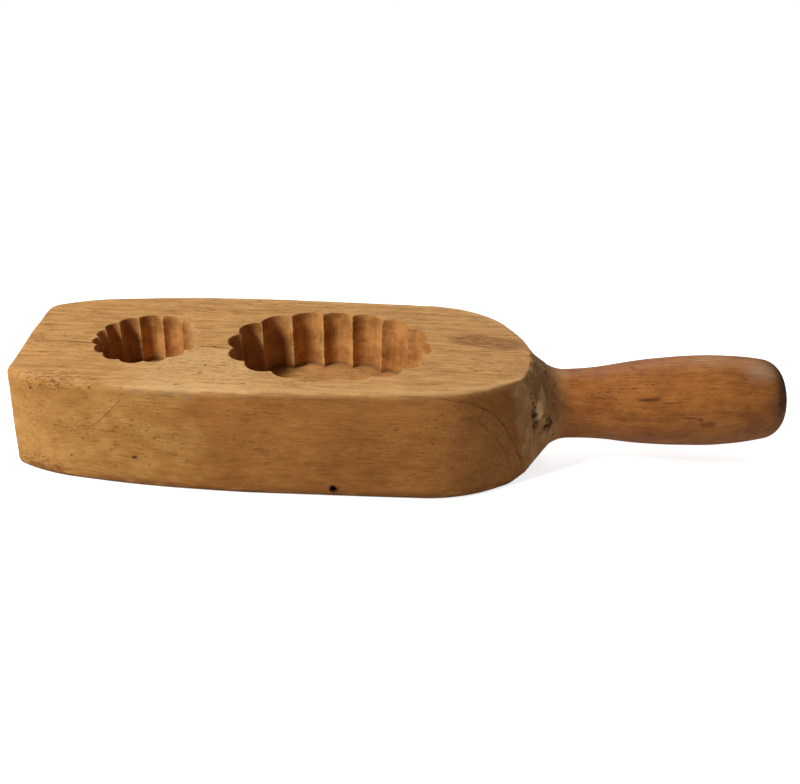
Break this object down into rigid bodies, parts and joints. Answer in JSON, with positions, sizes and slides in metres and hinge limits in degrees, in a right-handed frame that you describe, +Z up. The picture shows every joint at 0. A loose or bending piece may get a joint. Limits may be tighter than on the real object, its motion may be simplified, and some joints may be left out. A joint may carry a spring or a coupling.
{
  "type": "mooncake mold",
  "caption": "Hand-carved wooden mooncake mold: boat-shaped block with a small round and a large oval fluted pocket in its top, and a round club handle at one end.",
  "frame": {"origin": "middle of the bounding box, on the plane of the flat underside", "axes": "+X runs along the length from the square end to the handle's tip, +Z is up, out of the pockets' mouths, and +Y is to the left when looking along +X"},
  "size_m": [0.3388, 0.0936, 0.0529],
  "materials": {
    "block_wood": "hand-planed, worn and lightly oiled",
    "handle_wood": "hand-polished by use, semi-gloss"
  },
  "bodies": {
    "root": {"block": "block_wood", "handle": "handle_wood"}
  },
  "joints": []
}
